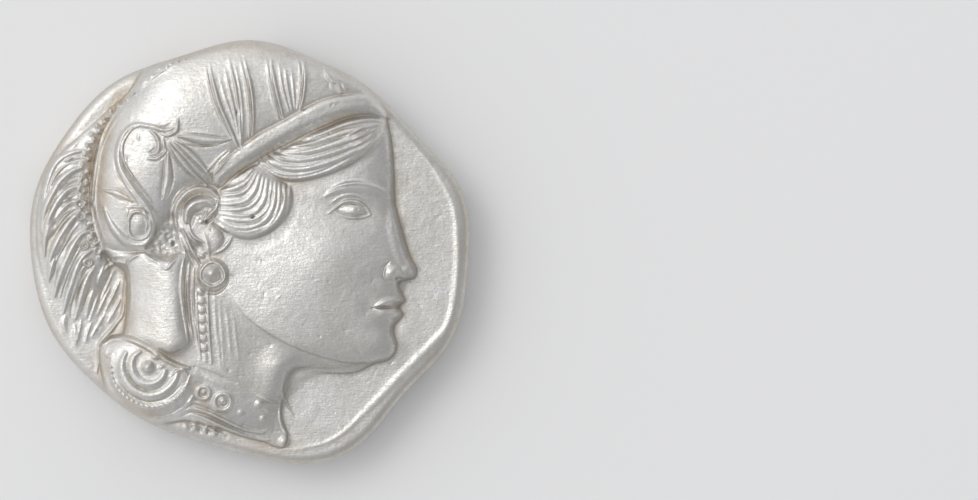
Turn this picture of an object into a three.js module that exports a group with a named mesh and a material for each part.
// Athenian-type silver tetradrachm, struck on a thick hand-made blank.
// Millimetres, +Z up. The coin lies flat on the worn rim of its owl face, head face up.
// X runs across the head from its crest to its face, Y from its neck to the top of its helmet.
// The origin is at the centre of the underside.
import * as THREE from 'three';

// ---------------------------------------------------------------- driving dimensions
const BLANK_RADIUS = 12.037;         // mean radius of the hammered blank
const BLANK_WAVES = [                // its out-of-round outline: cosine and sine part of each wave
  [-0.049, 0.076], [0.362, -0.412], [-0.096, 0.035], [0.153, 0.132], [0.184, 0.060],
  [0.031, -0.032], [-0.067, -0.058], [-0.054, 0.022], [-0.029, 0.095], [-0.064, 0.016]];
const EDGE_ROUND = 0.62;             // how far the rounded edge reaches in over either face
const HEAD_FIELD = 3.18;             // height of the plain field round the head
const FIELD_DOME = 0.16;             // extra height of that field at its middle
const HEAD_RISE = 1.42;              // height of the head's mass over the field
const PUNCH_DEPTH = 0.92;            // depth of the sunk square on the owl face
const OWL_RISE = 0.62;               // height of the owl's body over the sunk field
const DIE_AXIS = 209.84 * Math.PI / 180;   // turn of the owl face's upright against the head's
const OWL_SHIFT = [0.039, -0.036];
const FACE_THIRD = 4.6;              // hairline to brow, brow to nose, nose to chin: one third each
const HAIRLINE = [7.62, 7.35];       // where the hairline meets the forehead's profile
const GRID = 128;                    // finest steps across a face, a power of two
const TRIANGLES = { head: 4300, owl: 3700 };
const EDGE_SECTORS = 128;

// ---------------------------------------------------------------- curves and distances
const V = (p) => new THREE.Vector2(p[0], p[1]);
function smooth(points, closed = false, per = 6) {
  if (points.length < 3) return points.map(V);
  const c = new THREE.CatmullRomCurve3(points.map((p) => new THREE.Vector3(p[0], p[1], 0)), closed, 'catmullrom', 0.5);
  return c.getPoints(per * points.length).map((p) => new THREE.Vector2(p.x, p.y));
}
function toSegment(x, y, a, b) {
  const dx = b.x - a.x, dy = b.y - a.y, t = THREE.MathUtils.clamp(((x - a.x) * dx + (y - a.y) * dy) / (dx * dx + dy * dy + 1e-12), 0, 1);
  return [Math.hypot(x - a.x - t * dx, y - a.y - t * dy), t];
}
function blankRadius(theta) {
  let r = BLANK_RADIUS;
  BLANK_WAVES.forEach(([c, s], i) => { r += c * Math.cos((i + 1) * theta) + s * Math.sin((i + 1) * theta); });
  return r;
}
// Height profiles across a stroke, from its middle (q = 0) to its side (q = 1).
const PROFILE = {
  soft: (q) => (1 - q * q) ** 2,
  round: (q) => Math.sqrt(Math.max(0, 1 - q * q)),
  flat: (q) => THREE.MathUtils.smoothstep(1 - q, 0, 0.4),
};

// ---------------------------------------------------------------- one face as a relief
// The face is a square grid wrapped onto the blank's outline, ring by ring.
class Relief {
  constructor(plan) {
    const n = GRID + 1;
    this.n = n; this.x = new Float64Array(n * n); this.y = new Float64Array(n * n); this.z = new Float64Array(n * n);
    this.rho = new Float64Array(n * n);
    for (let j = 0; j < n; j++) for (let i = 0; i < n; i++) {
      const s = 2 * i / GRID - 1, t = 2 * j / GRID - 1, k = j * n + i;
      let r = 0, a = 0;
      if (Math.abs(s) > Math.abs(t)) { r = s; a = Math.PI / 4 * t / s; } else if (t !== 0) { r = t; a = Math.PI / 2 - Math.PI / 4 * s / t; }
      if (r < 0) { r = -r; a += Math.PI; }
      const R = (blankRadius(a) - EDGE_ROUND) * r;
      const [px, py] = plan(R * Math.cos(a), R * Math.sin(a));
      this.x[k] = px; this.y[k] = py; this.rho[k] = r;
    }
  }
  each(f) { for (let k = 0; k < this.z.length; k++) this.z[k] = f(this.x[k], this.y[k], this.z[k], this.rho[k]); return this; }
  near(points, reach, f) {
    let x0 = 1e9, x1 = -1e9, y0 = 1e9, y1 = -1e9;
    for (const p of points) { x0 = Math.min(x0, p.x); x1 = Math.max(x1, p.x); y0 = Math.min(y0, p.y); y1 = Math.max(y1, p.y); }
    for (let k = 0; k < this.z.length; k++) {
      const x = this.x[k], y = this.y[k];
      if (x < x0 - reach || x > x1 + reach || y < y0 - reach || y > y1 + reach) continue;
      f(k, x, y);
    }
  }
  // A raised (or, with a negative height, sunk) stroke along a curve, thinner and lower at its ends.
  stroke(points, half, height, { closed = false, profile = 'soft', ends = [0.5, 0.5] } = {}) {
    const c = smooth(points, closed), last = c.length - 1;
    this.near(c, half, (k, x, y) => {
      let best = 1e9, at = 0;
      for (let i = 0; i < last; i++) { const [d, t] = toSegment(x, y, c[i], c[i + 1]); if (d < best) { best = d; at = (i + t) / last; } }
      if (best >= half) return;
      let e = 1;
      if (!closed) e = Math.min(1, ends[0] + (1 - ends[0]) * at / 0.3, ends[1] + (1 - ends[1]) * (1 - at) / 0.3);
      const q = best / (half * e);
      if (q < 1) this.z[k] += height * e * PROFILE[profile](q);
    });
    return this;
  }
  // A raised form with a closed outline and a rounded shoulder.
  form(points, rise, shoulder) {
    const c = smooth(points, true, 4), last = c.length - 1;
    this.near(c, 0, (k, x, y) => {
      let inside = false, d = 1e9;
      for (let i = 0; i < last; i++) {
        const a = c[i], b = c[i + 1];
        if ((a.y > y) !== (b.y > y) && x < (b.x - a.x) * (y - a.y) / (b.y - a.y) + a.x) inside = !inside;
        d = Math.min(d, toSegment(x, y, a, b)[0]);
      }
      if (!inside) return;
      this.z[k] += rise * THREE.MathUtils.smoothstep(d, -0.25 * shoulder, shoulder);
    });
    return this;
  }
  // A round boss, dish or swelling.
  swell(x0, y0, rx, ry, height, turn = 0, profile = 'soft') {
    const c = Math.cos(turn), s = Math.sin(turn);
    this.near([V([x0, y0])], Math.max(rx, ry), (k, x, y) => {
      const dx = x - x0, dy = y - y0, q = Math.hypot((c * dx + s * dy) / rx, (-s * dx + c * dy) / ry);
      if (q < 1) this.z[k] += height * PROFILE[profile](q);
    });
    return this;
  }
  ring(x0, y0, radius, half, height) {
    const pts = []; for (let i = 0; i < 12; i++) pts.push([x0 + radius * Math.cos(i * Math.PI / 6), y0 + radius * Math.sin(i * Math.PI / 6)]);
    return this.stroke(pts, half, height, { closed: true });
  }
  // Strokes in a fan: each one runs between matching points of two guide curves.
  fan(first, last, count, half, height, options) {
    for (let i = 0; i < count; i++) {
      const t = count < 2 ? 0 : i / (count - 1);
      this.stroke(first.map((p, j) => [p[0] + (last[j][0] - p[0]) * t, p[1] + (last[j][1] - p[1]) * t]), half, height, options);
    }
    return this;
  }
  // Evens out whatever is narrower than two steps of the grid.
  soften() {
    const n = this.n, z = this.z, w = [1, 2, 1];
    const out = z.slice();
    for (let j = 1; j < n - 1; j++) for (let i = 1; i < n - 1; i++) {
      let sum = 0;
      for (let b = -1; b <= 1; b++) for (let a = -1; a <= 1; a++) sum += w[a + 1] * w[b + 1] * z[(j + b) * n + i + a];
      out[j * n + i] = sum / 16;
    }
    this.z = out;
    return this;
  }
  // Beads at equal steps along a curve.
  beads(points, count, radius, height) {
    const c = new THREE.CatmullRomCurve3(points.map((p) => new THREE.Vector3(p[0], p[1], 0)));
    for (let i = 0; i < count; i++) { const p = c.getPointAt(count < 2 ? 0 : i / (count - 1)); this.swell(p.x, p.y, radius, radius, height); }
    return this;
  }
}

// ---------------------------------------------------------------- the head face
function headFace() {
  const R = new Relief((x, y) => [x, y]);
  R.each((x, y, z, rho) => HEAD_FIELD + FIELD_DOME * (1 - rho * rho) - 0.34 * THREE.MathUtils.smoothstep(rho, 0.93, 1));
  // struck-up rim along the right-hand side
  R.stroke([[9.3, 6.2], [11.1, 3.5], [11.75, 0.6], [11.55, -3.4], [10.6, -4.9], [8.2, -7.3], [5.0, -10.5], [1.7, -11.2]], 0.55, 0.22);

  // helmet, hair and neck as one mass, and the face in front of them
  const [hx, hy] = HAIRLINE, T = FACE_THIRD;
  const browY = hy - T, noseY = browY - T, chinY = noseY - T;
  const profile = [                         // straight classical profile on thirds
    [hx, hy], [hx + 0.28, hy - 0.4 * T], [hx + 0.42, browY + 0.15 * T], [hx + 0.50, browY - 0.12 * T],
    [hx + 1.25, browY - 0.55 * T], [hx + 2.05, noseY + 0.13 * T], [hx + 1.95, noseY + 0.03 * T], [hx + 1.05, noseY - 0.04 * T],
    [hx + 1.22, noseY - 0.2 * T], [hx + 1.0, noseY - 0.33 * T], [hx + 1.1, noseY - 0.45 * T], [hx + 0.7, noseY - 0.6 * T],
    [hx + 0.92, noseY - 0.8 * T], [hx + 0.35, chinY]];
  const mass = [
    ...profile, [hx - 2.4, chinY + 0.15], [2.2, -6.1], [1.7, -8.2], [1.75, -10.1], [1.3, -10.75], [-1.6, -9.9], [-3.6, -9.1], [-5.4, -9.75], [-7.1, -9.25],
    [-8.5, -7.6], [-8.55, -5.4], [-7.4, -4.0], [-7.15, -1.2], [-8.6, 0.3], [-9.4, 2.4], [-9.2, 5.6], [-8.3, 7.6], [-6.4, 9.6],
    [-3.4, 11.0], [-0.4, 11.2], [3.2, 10.9], [6.2, 9.5]];
  R.form(mass, HEAD_RISE, 1.35);
  R.swell(-0.6, 7.4, 7.2, 4.6, 0.62);                    // crown of the helmet's bowl
  R.swell(3.6, -0.8, 5.4, 6.8, 0.55);                    // fullness of the face
  R.swell(4.1, -2.2, 3.2, 3.2, 0.26);                    // cheek
  R.swell(-2.6, -7.0, 5.0, 4.2, 0.18);
  // under the jaw the neck lies lower
  R.stroke([[-1.3, -3.4], [0.2, -4.9], [2.6, -6.1], [4.6, -6.35]], 0.9, -0.34, { ends: [0.5, 0.8] });
  // the face: brow, eye with its lids, wing of the nose, lips and chin
  R.stroke([[hx + 0.1, browY + 0.25], [hx - 1.3, browY + 0.75], [hx - 3.2, browY + 0.35]], 0.75, 0.26);
  R.swell(hx - 1.75, browY - 0.95, 1.5, 0.95, -0.30);
  R.swell(hx - 1.65, browY - 1.0, 0.95, 0.6, 0.36);
  R.stroke([[hx - 0.65, browY - 0.95], [hx - 1.6, browY - 0.42], [hx - 2.85, browY - 1.05]], 0.36, 0.18);
  R.stroke([[hx - 0.75, browY - 1.15], [hx - 1.6, browY - 1.5], [hx - 2.6, browY - 1.15]], 0.32, 0.13);
  R.swell(hx + 0.55, noseY + 0.45, 0.6, 0.55, 0.26);
  R.stroke([[hx + 1.3, noseY - 0.2 * T], [hx + 0.1, noseY - 0.27 * T], [hx - 0.75, noseY - 0.33 * T]], 0.42, 0.24);
  R.stroke([[hx + 1.15, noseY - 0.45 * T], [hx + 0.2, noseY - 0.45 * T], [hx - 0.55, noseY - 0.37 * T]], 0.42, 0.22);
  R.swell(hx + 0.1, noseY - 0.8 * T, 1.2, 1.0, 0.24);

  // crest behind the helmet: a band of beads and a fan of hair strands
  R.stroke([[-6.9, 9.0], [-8.2, 7.6], [-9.0, 6.5], [-9.3, 4.9], [-9.4, 2.7], [-9.1, 1.5], [-8.5, -0.3]], 0.45, 0.32);
  R.fan([[-9.5, 5.7], [-11.0, 5.3], [-11.6, 3.9]], [[-9.3, 0.8], [-10.3, -0.9], [-10.9, -2.6]], 6, 0.42, 0.34);
  R.fan([[-9.5, -0.6], [-10.1, -2.0], [-10.6, -3.5]], [[-8.6, -1.2], [-9.3, -2.6], [-9.8, -4.4]], 2, 0.4, 0.3);
  R.stroke([[-7.1, -1.1], [-7.3, -3.6], [-8.4, -4.9], [-8.6, -6.1], [-8.4, -7.4]], 0.3, 0.22);
  // helmet: visor band, three upright leaves, scroll and its spray
  R.stroke([[7.2, 8.4], [5.0, 8.35], [3.0, 7.5], [1.0, 6.4], [-1.0, 5.1], [-2.3, 4.1]], 0.75, 0.42, { profile: 'round', ends: [0.5, 0.6] });
  R.stroke([[6.6, 9.0], [4.3, 8.75], [1.8, 7.5], [-0.3, 6.1], [-2.4, 4.4]], 0.3, 0.16);
  const leaves = [[-1.5, 10.3, -0.85, 6.1], [0.55, 10.2, 0.95, 7.3], [2.5, 10.2, 2.6, 8.3]];
  for (const [tx, ty, bx, by] of leaves) for (const side of [-1, 1])
    R.stroke([[tx + side * 0.62, ty], [(tx + bx) / 2 + side * 0.6, (ty + by) / 2], [bx + side * 0.12, by]], 0.36, 0.24);
  R.stroke([[-4.0, 7.6], [-5.2, 7.05], [-6.9, 7.0], [-7.45, 5.5], [-6.5, 3.7], [-5.5, 2.3], [-5.55, 1.0], [-6.5, 0.45], [-7.5, 1.1], [-8.1, 2.2]], 0.42, 0.36);
  R.ring(-6.31, 1.53, 0.6, 0.34, 0.28);
  R.fan([[-4.0, 6.7], [-2.6, 6.65], [-1.3, 6.5]], [[-4.0, 6.4], [-2.7, 6.1], [-1.1, 6.2]], 2, 0.32, 0.24);
  R.fan([[-4.4, 6.2], [-3.5, 5.0], [-2.5, 4.0]], [[-4.1, 6.4], [-3.2, 5.6], [-2.2, 4.2]], 2, 0.32, 0.24);
  R.fan([[-4.8, 5.5], [-4.85, 4.2], [-4.9, 3.1]], [[-4.4, 5.6], [-4.35, 4.2], [-4.6, 3.1]], 2, 0.32, 0.24);
  R.stroke([[-8.5, 0.4], [-6.2, 0.3], [-4.9, 1.4], [-4.6, 1.7]], 0.4, 0.24);
  // forehead hair, temple hair, ear and ear-ring
  R.fan([[0.6, 6.3], [3.0, 6.9], [5.6, 7.5], [7.5, 7.3]], [[0.7, 5.1], [2.6, 4.4], [5.4, 5.1], [7.4, 6.5]], 4, 0.36, 0.26);
  R.form([[-1.9, 3.5], [-0.7, 4.3], [0.5, 5.1], [1.9, 4.1], [2.3, 2.7], [1.2, 1.25], [-0.5, 0.8], [-1.9, 1.8]], 0.16, 0.5);
  R.fan([[0.1, 4.9], [-0.4, 4.2], [-1.5, 3.9]], [[2.0, 3.9], [1.6, 2.2], [-1.6, 1.7]], 4, 0.38, 0.26);
  R.stroke([[-4.35, 1.5], [-4.25, 2.9], [-3.25, 3.7], [-2.1, 3.5], [-1.75, 2.6], [-2.4, 1.7]], 0.42, 0.42);
  R.swell(-3.0, 2.6, 0.55, 0.6, 0.16).swell(-3.1, 1.7, 0.6, 0.7, -0.2).swell(-2.4, 0.9, 0.65, 0.75, 0.3);
  R.ring(-2.05, -1.19, 0.62, 0.32, 0.28).swell(-2.1, -1.15, 0.6, 0.6, 0.46);
  // neck guard: plate, two ridges, bead border, hair beside it
  R.form([[-7.0, -1.1], [-5.4, -0.3], [-3.8, -0.4], [-3.9, -2.6], [-3.6, -4.9], [-5.2, -5.2], [-7.0, -4.5]], 0.2, 0.6);
  R.stroke([[-3.75, -0.4], [-3.9, -2.4], [-3.65, -4.2], [-3.45, -5.2]], 0.34, 0.24);
  R.beads([[-2.7, -2.1], [-2.65, -6.2]], 7, 0.38, 0.28);
  R.fan([[-2.0, -2.1], [-1.9, -6.7]], [[-1.4, -2.1], [-1.2, -7.0]], 2, 0.3, 0.18);
  // cheek-piece ornament: ring wave, boss, border and pendants
  R.stroke([[-8.5, -5.0], [-7.2, -4.75], [-5.75, -5.3], [-4.2, -6.25], [-3.3, -6.45]], 0.38, 0.32);
  R.ring(-5.74, -6.55, 0.95, 0.3, 0.24).swell(-5.74, -6.48, 0.45, 0.45, 0.3);
  R.stroke([[-7.5, -6.1], [-7.2, -7.4], [-6.0, -8.25], [-4.7, -8.0], [-3.7, -6.8]], 0.32, 0.26);
  R.stroke([[-8.4, -5.4], [-8.35, -7.0], [-6.9, -9.0], [-5.3, -9.5], [-3.5, -8.6]], 0.36, 0.24);
  R.fan([[-3.9, -8.9], [-2.6, -8.95], [-1.3, -9.5], [0.8, -10.2]], [[-3.7, -9.35], [-2.5, -9.35], [-1.3, -9.95], [0.7, -10.6]], 2, 0.28, 0.22);
  for (const [x, y, r] of [[-2.61, -8.01, 0.45], [-1.59, -8.58, 0.5], [0.51, -8.58, 0.32], [0.74, -9.43, 0.28]]) R.swell(x, y, r, r, 0.3);
  R.fan([[1.9, -6.4], [1.5, -8.2], [1.6, -10.4]], [[2.4, -6.6], [2.1, -8.4], [2.2, -10.3]], 1, 0.4, 0.2);
  R.swell(1.85, -10.6, 0.5, 0.5, 0.34);
  return R.soften();
}

// ---------------------------------------------------------------- the owl face
// Drawn the way it is seen from that side, u to the right and v up, raised forms positive.
function owlFace() {
  const c = Math.cos(DIE_AXIS), s = Math.sin(DIE_AXIS);
  const R = new Relief((x, y) => { const qx = x - OWL_SHIFT[0], qy = y - OWL_SHIFT[1]; return [-(c * qx + s * qy), -s * qx + c * qy]; });
  // the sunk square: a shoulder along each of its four sides, the rim round it left high
  const sides = [
    { n: [-1, 0.03], at: 9.45, wall: 1.2 }, { n: [-0.08, 1], at: 10.2, wall: 0.8 },
    { n: [1, 0.05], at: 9.15, wall: 1.4 }, { n: [0, -1], at: 9.5, wall: 0.9 }];
  R.each((u, v, z, rho) => {
    let out = -1e9;
    for (const q of sides) { const L = Math.hypot(...q.n); out = Math.max(out, ((u * q.n[0] + v * q.n[1]) / L - q.at) / q.wall); }
    const rim = THREE.MathUtils.smoothstep(out, -0.6, 0.5), ridge = 0.62 * THREE.MathUtils.smoothstep(rho, 0.84, 0.97);
    return -PUNCH_DEPTH * (1 - Math.max(rim, ridge));
  });
  // owl: body, head, wing, tail and legs
  R.form([[3.0, 2.7], [2.4, 1.0], [1.3, -0.6], [-0.2, -2.5], [-0.9, -4.6], [-2.6, -4.6], [-4.9, -4.4], [-6.4, -4.7], [-8.5, -5.4], [-8.6, -3.1],
    [-7.7, -1.2], [-6.1, 0.7], [-3.6, 2.9], [-2.9, 3.9], [0.4, 2.6]], OWL_RISE * 0.72, 0.9);
  R.form([[-3.5, 5.5], [-2.6, 7.2], [-0.4, 7.9], [2.2, 7.8], [4.4, 6.8], [5.0, 5.4], [4.5, 3.9], [2.6, 3.0], [0.4, 2.4], [-2.2, 3.0]], OWL_RISE * 0.55, 0.7);
  R.swell(-3.6, -1.4, 4.6, 2.0, 0.22, -2.35 + Math.PI);
  for (const [u, v] of [[-1.25, 5.44], [2.31, 5.44]]) R.ring(u, v, 1.4, 0.34, 0.2).swell(u, v, 1.15, 1.15, 0.32);
  R.stroke([[-1.0, 3.4], [0.2, 3.5], [0.5, 5.5], [1.2, 6.9]], 0.32, 0.16).stroke([[0.42, 5.2], [0.4, 3.4], [0.36, 2.4]], 0.42, 0.24, { ends: [0.5, 0.2] });
  for (let i = 0; i < 20; i++) {                       // ruff of short tufts round the facial disc
    const a = (-38 + i * 248 / 19) * Math.PI / 180, x = 0.55 + 3.95 * Math.cos(a), y = 5.25 + 2.45 * Math.sin(a);
    R.stroke([[x, y], [x + 0.6 * Math.cos(a), y + 0.65 * Math.sin(a)]], 0.3, 0.22);
  }
  R.fan([[-4.2, 1.1], [-5.0, 0.5], [-6.1, -0.5]], [[-2.2, 0.7], [-3.1, -0.3], [-3.9, -1.1]], 3, 0.36, 0.2);
  R.fan([[-5.7, -1.3], [-7.2, -2.7], [-8.5, -4.7]], [[-4.4, -2.3], [-6.5, -3.8], [-8.0, -5.3]], 3, 0.36, 0.22);
  R.stroke([[-0.45, 0.7], [-2.2, -0.8], [-4.5, -2.4], [-6.6, -3.9], [-8.0, -5.3]], 0.4, 0.24);
  for (let r = 0; r < 3; r++) for (let i = 0; i < 5; i++)   // breast and belly feathers
    R.swell(1.5 - 0.85 * i + 0.4 * r, 1.7 - 0.85 * i - 0.55 * r, 0.4, 0.4, 0.14);
  R.fan([[-6.4, -5.0], [-7.0, -6.7]], [[-5.5, -5.0], [-6.1, -6.7]], 2, 0.4, 0.3);
  for (const [top, foot] of [[[-3.7, -4.7], [-3.5, -7.8]], [[-1.5, -4.5], [-0.9, -7.6]]]) R.fan(
    [top, [(top[0] + foot[0]) / 2 - 0.1, (top[1] + foot[1]) / 2], foot], [[top[0] + 0.6, top[1]], [(top[0] + foot[0]) / 2 + 0.4, (top[1] + foot[1]) / 2], [foot[0] + 0.4, foot[1]]], 2, 0.38, 0.34);
  R.stroke([[-6.2, -7.4], [-4.4, -7.9], [-2.0, -8.1], [0.6, -7.8], [2.4, -7.9], [2.8, -8.3]], 0.5, 0.36);
  // olive sprig and crescent
  const leaf = (base, tip, wide) => {
    const dx = tip[0] - base[0], dy = tip[1] - base[1], L = Math.hypot(dx, dy), nx = -dy / L, ny = dx / L;
    const row = (k) => [0, 0.25, 0.5, 0.75, 1].map((t) => [base[0] + dx * t + nx * k * wide * Math.sin(Math.PI * t), base[1] + dy * t + ny * k * wide * Math.sin(Math.PI * t)]);
    R.stroke(row(1), 0.34, 0.26).stroke(row(-1), 0.34, 0.26);
  };
  leaf([-7.5, 6.9], [-3.9, 5.8], 0.62); leaf([-7.8, 6.5], [-5.8, 4.6], 0.3); leaf([-8.0, 6.1], [-8.1, 0.8], 0.8);
  R.swell(-7.0, 4.93, 0.36, 0.36, 0.26);
  R.stroke([[-4.8, 4.4], [-5.5, 3.5], [-5.55, 2.9], [-5.0, 2.2]], 0.44, 0.32, { ends: [0.3, 0.3] });
  // three groups of plain short strokes down the right-hand side
  for (const [u, v, count, gap, len, turn] of [[7.0, 3.1, 3, 0.85, 1.8, 0.5], [6.5, -1.85, 3, 0.9, 2.0, -0.25], [6.2, -6.4, 4, 0.85, 1.9, 0.12]])
    for (let i = 0; i < count; i++) {
      const o = (i - (count - 1) / 2) * gap, l = len * (i % 2 ? 0.34 : 0.5), ct = Math.cos(turn), st = Math.sin(turn);
      R.stroke([[u + o * ct - l * st, v + o * st + l * ct], [u + o * ct + l * st, v + o * st - l * ct]], 0.34, 0.26);
    }
  return R.soften();
}

// ---------------------------------------------------------------- mesh of one face
// Halves triangles of the square grid until the relief is followed within the tolerance.
function halving(R, heights, wanted) {
  const n = R.n, tile = n - 1, total = tile * tile * 2 - 2, parents = total - tile * tile;
  const error = new Float32Array(n * n);
  for (let j = 0; j < n; j++) for (let i = 0; i < n; i++) {
    const edge = i === 0 || j === 0 || i === tile || j === tile, step = edge ? 4 : 16;
    if (i % step === 0 && j % step === 0) error[j * n + i] = 1e6;
  }
  for (let i = total - 1; i >= 0; i--) {
    let id = i + 2, ax = 0, ay = 0, bx = 0, by = 0, cx = 0, cy = 0;
    if (id & 1) { bx = by = cx = tile; } else { ax = ay = cy = tile; }
    while ((id >>= 1) > 1) {
      const mx = (ax + bx) >> 1, my = (ay + by) >> 1;
      if (id & 1) { bx = ax; by = ay; ax = cx; ay = cy; } else { ax = bx; ay = by; bx = cx; by = cy; }
      cx = mx; cy = my;
    }
    const mx = (ax + bx) >> 1, my = (ay + by) >> 1, m = my * n + mx;
    cx = mx + my - ay; cy = my + ax - mx;
    error[m] = Math.max(error[m], Math.abs((heights[ay * n + ax] + heights[by * n + bx]) / 2 - heights[m]));
    if (i < parents) error[m] = Math.max(error[m], error[((ay + cy) >> 1) * n + ((ax + cx) >> 1)], error[((by + cy) >> 1) * n + ((bx + cx) >> 1)]);
  }
  const cut = (tolerance) => {
    const out = [];
    const go = (ax, ay, bx, by, cx, cy) => {
      const mx = (ax + bx) >> 1, my = (ay + by) >> 1;
      if (Math.abs(ax - cx) + Math.abs(ay - cy) > 1 && error[my * n + mx] > tolerance) { go(cx, cy, ax, ay, mx, my); go(bx, by, cx, cy, mx, my); }
      else out.push(ay * n + ax, by * n + bx, cy * n + cx);
    };
    go(0, 0, tile, tile, tile, 0); go(tile, tile, 0, 0, 0, tile);
    return out;
  };
  let lo = 1e-4, hi = 1;
  for (let i = 0; i < 24; i++) { const mid = Math.sqrt(lo * hi); if (cut(mid).length / 3 > wanted) lo = mid; else hi = mid; }
  return cut(hi);
}

// ---------------------------------------------------------------- the whole coin
function buildCoin() {
  const head = headFace(), owl = owlFace(), n = head.n, tile = n - 1;
  const top = head.z.slice(), low = owl.z.map((z) => Math.max(0, -z));
  // the owl's highest points and the rim end in one plane: the coin rests on its worn rim
  const flatten = (z) => (z < 0.03 ? 0 : z);
  for (let k = 0; k < low.length; k++) low[k] = flatten(low[k] - 0.02);
  const position = [], index = [];
  const plan = new Relief((x, y) => [x, y]);
  for (let k = 0; k < n * n; k++) position.push(plan.x[k], plan.y[k], top[k]);
  const base = n * n;
  for (let k = 0; k < n * n; k++) position.push(plan.x[k], plan.y[k], low[k]);
  const add = (a, b, c) => index.push(a, b, c);
  const upper = halving(head, top, TRIANGLES.head), lower = halving(owl, low, TRIANGLES.owl);
  const area = (a, b, c) => (position[3 * b] - position[3 * a]) * (position[3 * c + 1] - position[3 * a + 1]) - (position[3 * c] - position[3 * a]) * (position[3 * b + 1] - position[3 * a + 1]);
  for (let i = 0; i < upper.length; i += 3) { const [a, b, c] = upper.slice(i, i + 3); if (area(a, b, c) > 0) add(a, b, c); else add(a, c, b); }
  for (let i = 0; i < lower.length; i += 3) { const [a, b, c] = lower.slice(i, i + 3).map((k) => k + base); if (area(a, b, c) > 0) add(a, c, b); else add(a, b, c); }
  // edge loops, in order of angle round the blank
  const loop = (tris, shift) => {
    const used = new Set(tris), out = [];
    const angle = (k) => { const a = Math.atan2(plan.y[k], plan.x[k]); return a < 0 ? a + 2 * Math.PI : a; };
    for (const k of used) { const i = k % n, j = (k - i) / n; if (i === 0 || j === 0 || i === tile || j === tile) out.push([angle(k), k + shift]); }
    return out.sort((p, q) => p[0] - q[0]);
  };
  const topLoop = loop(upper, 0), lowLoop = loop(lower, base);
  const heightAt = (L, a) => {
    let i = L.findIndex((p) => p[0] > a); if (i < 0) i = 0;
    const q = L[i], p = L[(i + L.length - 1) % L.length];
    let span = q[0] - p[0]; if (span <= 0) span += 2 * Math.PI;
    let t = a - p[0]; if (t < 0) t += 2 * Math.PI;
    return position[3 * p[1] + 2] + (position[3 * q[1] + 2] - position[3 * p[1] + 2]) * t / span;
  };
  // the rounded, hammered edge
  const RINGS = [[0.62, 0.06], [0.95, 0.26], [1, 0.52], [0.95, 0.78], [0.62, 0.95]];   // reach outwards, share of the way down
  const rings = RINGS.map(([out, down], r) => {
    const ids = [];
    for (let i = 0; i < EDGE_SECTORS; i++) {
      const a = (i + 0.5) / EDGE_SECTORS * 2 * Math.PI, zt = heightAt(topLoop, a), zb = heightAt(lowLoop, a);
      const R = blankRadius(a) - EDGE_ROUND * (1 - out) - (r === 0 || r === 4 ? 0 : 0.05 * (1 + Math.sin(7 * a + r) * Math.sin(3 * a)));
      ids.push([a, position.length / 3]); position.push(R * Math.cos(a), R * Math.sin(a), zt + (zb - zt) * down);
    }
    return ids;
  });
  const zip = (A, B) => {                               // joins two loops, A above B
    let i = 0, j = 0;
    const na = A.length, nb = B.length, at = (L, k) => L[k % L.length][0] + 2 * Math.PI * Math.floor(k / L.length);
    while (i < na || j < nb) {
      if (j >= nb || (i < na && at(A, i + 1) <= at(B, j + 1))) { add(A[i % na][1], B[j % nb][1], A[(i + 1) % na][1]); i++; }
      else { add(A[i % na][1], B[j % nb][1], B[(j + 1) % nb][1]); j++; }
    }
  };
  const chain = [topLoop, ...rings, lowLoop];
  for (let r = 0; r + 1 < chain.length; r++) zip(chain[r], chain[r + 1]);
  // keep only the corners in use, and set the origin at the centre of the underside
  const map = new Map(), pos = [];
  const idx = index.map((k) => { if (!map.has(k)) { map.set(k, pos.length / 3); pos.push(position[3 * k], position[3 * k + 1], position[3 * k + 2]); } return map.get(k); });
  const g = new THREE.BufferGeometry();
  g.setAttribute('position', new THREE.Float32BufferAttribute(pos, 3)); g.setIndex(idx);
  g.computeBoundingBox();
  const m = g.boundingBox.getCenter(new THREE.Vector3());
  g.translate(-m.x, -m.y, -g.boundingBox.min.z);
  g.computeVertexNormals();
  return g;
}

const silver = new THREE.MeshStandardMaterial({ name: 'silver', color: 0xc9c5bd, roughness: 0.34, metalness: 1.0, flatShading: false });
const coin = new THREE.Mesh(buildCoin(), silver);
coin.name = 'coin';
const group = new THREE.Group();
group.add(coin);
export default group;
